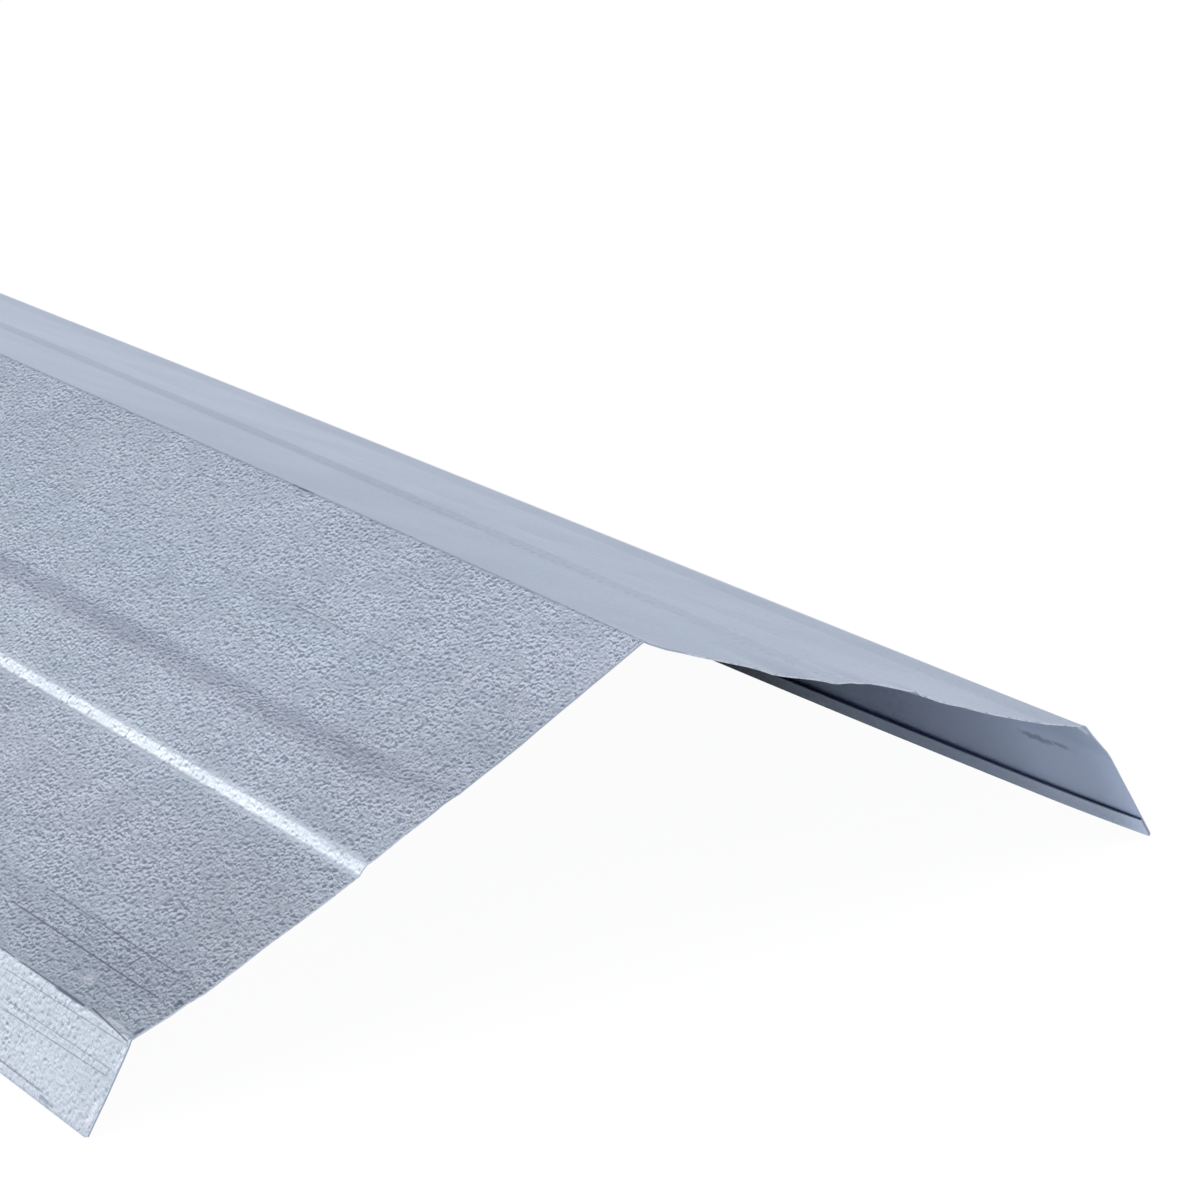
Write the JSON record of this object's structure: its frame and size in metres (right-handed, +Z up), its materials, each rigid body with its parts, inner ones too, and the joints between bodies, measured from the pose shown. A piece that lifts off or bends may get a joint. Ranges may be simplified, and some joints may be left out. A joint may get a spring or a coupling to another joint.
{
  "type": "ridge flashing",
  "caption": "Long folded sheet-steel ridge flashing: low ridge, a raised stiffening rib along each wing, down-turned lips of unequal depth with hems folded inside.",
  "frame": {"origin": "on the floor, at mid length, midway between the outermost edges of the two lips", "axes": "+X along the length, towards the end that the picture shows; +Y square to the ridge, towards the wing with the deeper lip; +Z up"},
  "size_m": [2.4, 0.3744, 0.106],
  "materials": {
    "coated_sheet_steel": "zinc-coated sheet with a fine spangle, cool blue-grey, satin, with fine roll marks along its length"
  },
  "bodies": {
    "root": {"ridge_flashing": "coated_sheet_steel"}
  },
  "joints": []
}
